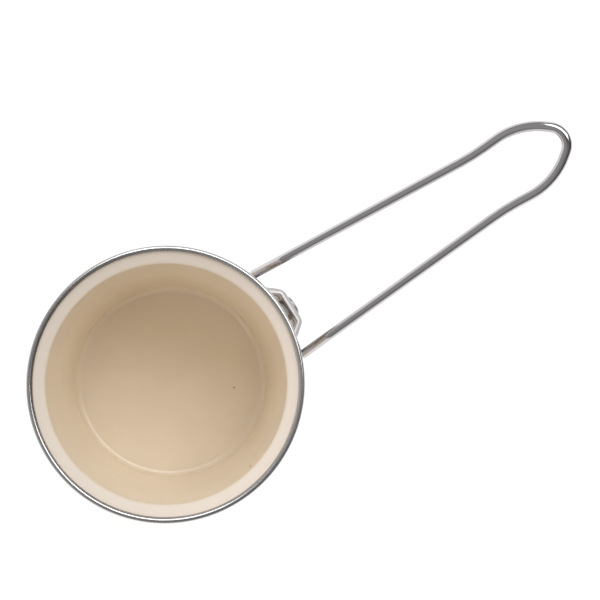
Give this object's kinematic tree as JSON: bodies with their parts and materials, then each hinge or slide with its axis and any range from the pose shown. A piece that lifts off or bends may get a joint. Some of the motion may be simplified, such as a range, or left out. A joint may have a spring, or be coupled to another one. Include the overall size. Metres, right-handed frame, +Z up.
{
  "type": "turkish coffee pot",
  "caption": "Open enamelled steel coffee pot with a flared lip, a rolled steel rim band and a long bent wire handle, for boiling coffee on a stove.",
  "frame": {"origin": "middle of the flat base", "axes": "+Z up out of the pot's mouth, +X along the handle, +Y across the handle"},
  "size_m": [0.1996, 0.098, 0.1419],
  "materials": {
    "cream_enamel": "fired gloss enamel, warm cream",
    "rim_steel": "bright rolled stainless strip",
    "wire_steel": "polished drawn stainless wire",
    "plate_steel": "tumbled stainless pressing",
    "fastener_steel": "plain stainless fastener"
  },
  "bodies": {
    "root": {"pot_body": "cream_enamel", "pot_bracket": "plate_steel", "rim_band": "rim_steel", "handle_wire": "wire_steel", "handle_plate": "plate_steel", "handle_screw": "fastener_steel", "lock_washer": "fastener_steel", "handle_nut": "fastener_steel"}
  },
  "joints": []
}
